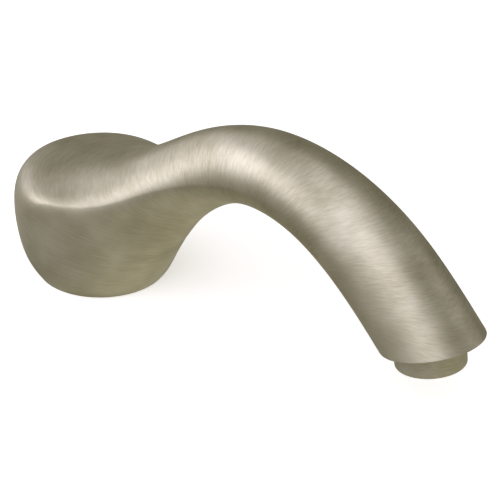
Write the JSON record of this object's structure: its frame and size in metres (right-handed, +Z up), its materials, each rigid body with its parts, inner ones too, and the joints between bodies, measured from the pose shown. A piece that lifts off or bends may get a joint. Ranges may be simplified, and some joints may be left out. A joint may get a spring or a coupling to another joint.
{
  "type": "deck mounted bath spout",
  "caption": "Hollow swan-neck bath spout with a round foot, a slip-on mounting post, a waterway tube and a screw-in aerator.",
  "frame": {"origin": "centre of the foot, on the deck face", "axes": "+Z up, away from the deck; +X from the foot towards the outlet; the XZ plane is the plane of symmetry"},
  "size_m": [0.2588, 0.0774, 0.2042],
  "materials": {
    "brushed_nickel": "brushed nickel plate, satin",
    "brass": "turned brass",
    "steel": "stainless steel",
    "rubber": "moulded black rubber",
    "acetal": "moulded white acetal",
    "nylon": "natural nylon",
    "pex": "cross-linked polyethylene tube",
    "fibre": "pressed red fibre"
  },
  "bodies": {
    "mounted_spout": {"spout_body": "brushed_nickel", "foot_gasket": "rubber", "inlet_hub": "brass", "hub_screw_1": "steel", "hub_screw_2": "steel", "hub_screw_3": "steel", "mounting_shank": "brass", "shank_gasket": "rubber", "post_o_ring_1": "rubber", "post_o_ring_2": "rubber", "waterway_tube": "pex", "inlet_ferrule": "steel", "outlet_ferrule": "steel", "outlet_bush": "brass"},
    "screw_tip": {"set_screw_tip": "nylon"},
    "screw": {"set_screw": "steel"},
    "plug": {"plug_button": "brushed_nickel"},
    "aerator_insert": {"aerator_washer": "rubber", "aerator_cage": "acetal", "flow_straightener": "acetal", "mixing_plate": "acetal", "inlet_screen": "steel"},
    "aerator_ring": {"aerator_housing": "brushed_nickel"},
    "deck_washers": {"rubber_washer": "rubber", "steel_washer": "steel"},
    "nut": {"lock_nut": "brass"},
    "supply_tail": {"fibre_washer": "fibre", "supply_tailpiece": "brass"},
    "supply_nut": {"coupling_nut": "brass"}
  },
  "joints": [
    {"name": "set_screw_travel", "type": "slide", "parent": "mounted_spout", "child": "screw_tip", "axis": [-1, 0, 0], "range_m": [0, 0.0025]},
    {"name": "set_screw_turn", "type": "hinge", "parent": "screw_tip", "child": "screw", "pos_m": [-0.02, 0, 0.012], "axis": [-1, 0, 0], "range_deg": [0, 900]},
    {"name": "plug_pull", "type": "slide", "parent": "mounted_spout", "child": "plug", "axis": [-1, 0, 0], "range_m": [0, 0.012]},
    {"name": "aerator_travel", "type": "slide", "parent": "mounted_spout", "child": "aerator_insert", "axis": [0.1045, 0, -0.9945], "range_m": [0, 0.005]},
    {"name": "aerator_turn", "type": "hinge", "parent": "aerator_insert", "child": "aerator_ring", "pos_m": [0.1918, 0, 0.0338], "axis": [0.1045, 0, -0.9945], "range_deg": [0, 1800]},
    {"name": "washer_travel", "type": "slide", "parent": "mounted_spout", "child": "deck_washers", "axis": [0, 0, -1], "range_m": [-0.012, 0.018]},
    {"name": "lock_nut_turn", "type": "hinge", "parent": "deck_washers", "child": "nut", "pos_m": [0, 0, -0.03], "axis": [0, 0, -1], "range_deg": [-2381, 3572]},
    {"name": "supply_travel", "type": "slide", "parent": "mounted_spout", "child": "supply_tail", "axis": [0, 0, -1], "range_m": [0, 0.0128]},
    {"name": "coupling_nut_turn", "type": "hinge", "parent": "supply_tail", "child": "supply_nut", "pos_m": [0, 0, -0.07], "axis": [0, 0, -1], "range_deg": [0, 2520]}
  ],
  "couplings": [
    {"joint": "set_screw_turn", "follows": "set_screw_travel", "rad_per_m": 6283.1},
    {"joint": "aerator_travel", "follows": "aerator_turn", "m_per_rad": 0.00015915},
    {"joint": "washer_travel", "follows": "lock_nut_turn", "m_per_rad": 0.00028871},
    {"joint": "supply_travel", "follows": "coupling_nut_turn", "m_per_rad": 0.00028871}
  ]
}
